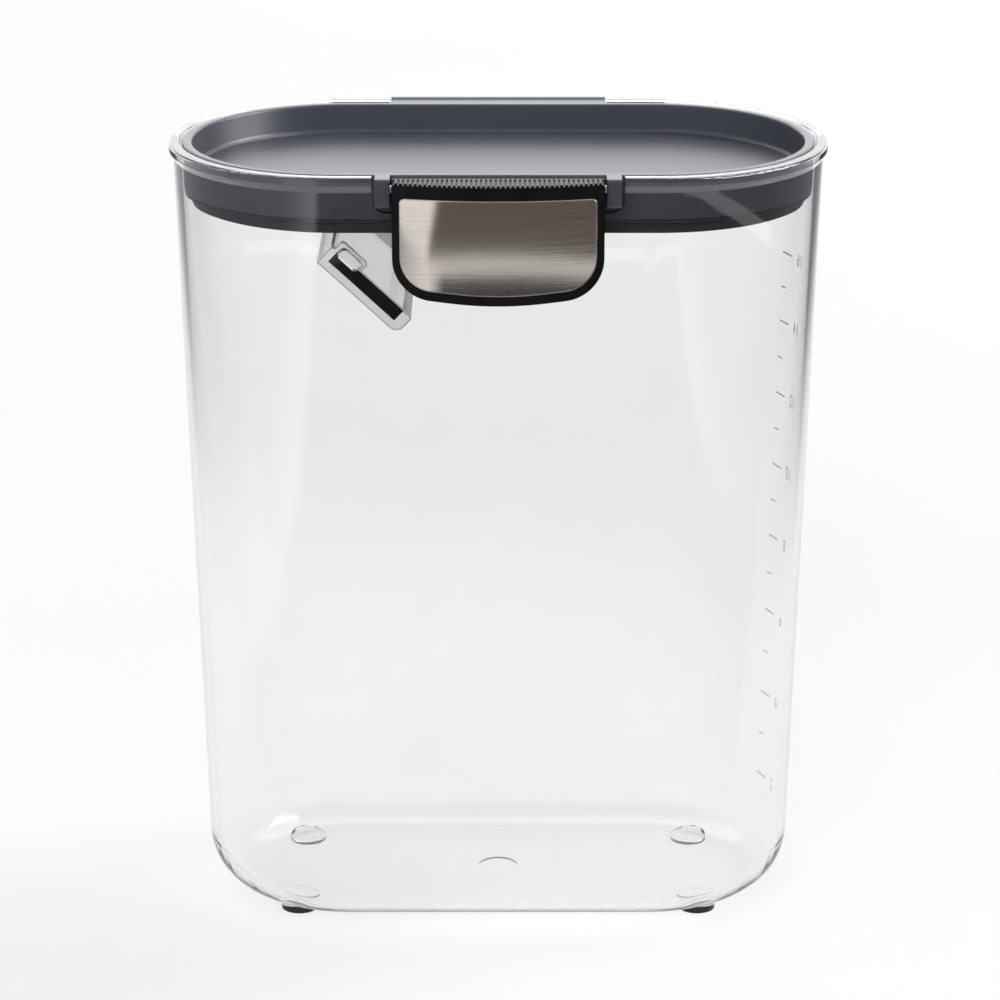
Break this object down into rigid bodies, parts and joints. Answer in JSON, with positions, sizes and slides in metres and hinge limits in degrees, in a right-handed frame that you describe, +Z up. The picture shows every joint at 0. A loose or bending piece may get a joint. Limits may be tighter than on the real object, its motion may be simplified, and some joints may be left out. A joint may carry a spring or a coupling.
{
  "type": "flour container",
  "caption": "Clear flat-sided storage container with round ends, a hinged grey lid with a seal, a front latch faced with steel and a levelling bar across the mouth.",
  "frame": {"origin": "on the table under the middle of the container, midway between latch and hinge", "axes": "+Z up; +Y towards the rear hinge, so the latch faces -Y; +X to the right seen from the front, so the levelling bar is at -X"},
  "size_m": [0.216, 0.1335, 0.264],
  "materials": {
    "clear_plastic": "clear, polished",
    "lid_plastic": "fine satin, slate grey",
    "seal": "dark silicone",
    "latch_plastic": "polished black",
    "plate_steel": "brushed from side to side, warm tint",
    "pin_steel": "plain drawn wire"
  },
  "bodies": {
    "container": {"container_body": "clear_plastic", "leveler_bar": "clear_plastic", "lid_hinge_pin": "pin_steel"},
    "lid": {"lid_top": "lid_plastic", "lid_liner": "lid_plastic", "lid_gasket": "seal", "latch_hinge_pin": "pin_steel"},
    "latch": {"latch_frame": "latch_plastic", "latch_plate": "plate_steel"}
  },
  "joints": [
    {"name": "lid_hinge", "type": "hinge", "parent": "container", "child": "lid", "pos_m": [0, 0.0635, 0.2608], "axis": [-1, 0, 0], "range_deg": [0, 110]},
    {"name": "latch_hinge", "type": "hinge", "parent": "lid", "child": "latch", "pos_m": [0, -0.0566, 0.2605], "axis": [-1, 0, 0], "range_deg": [0, 90]}
  ]
}
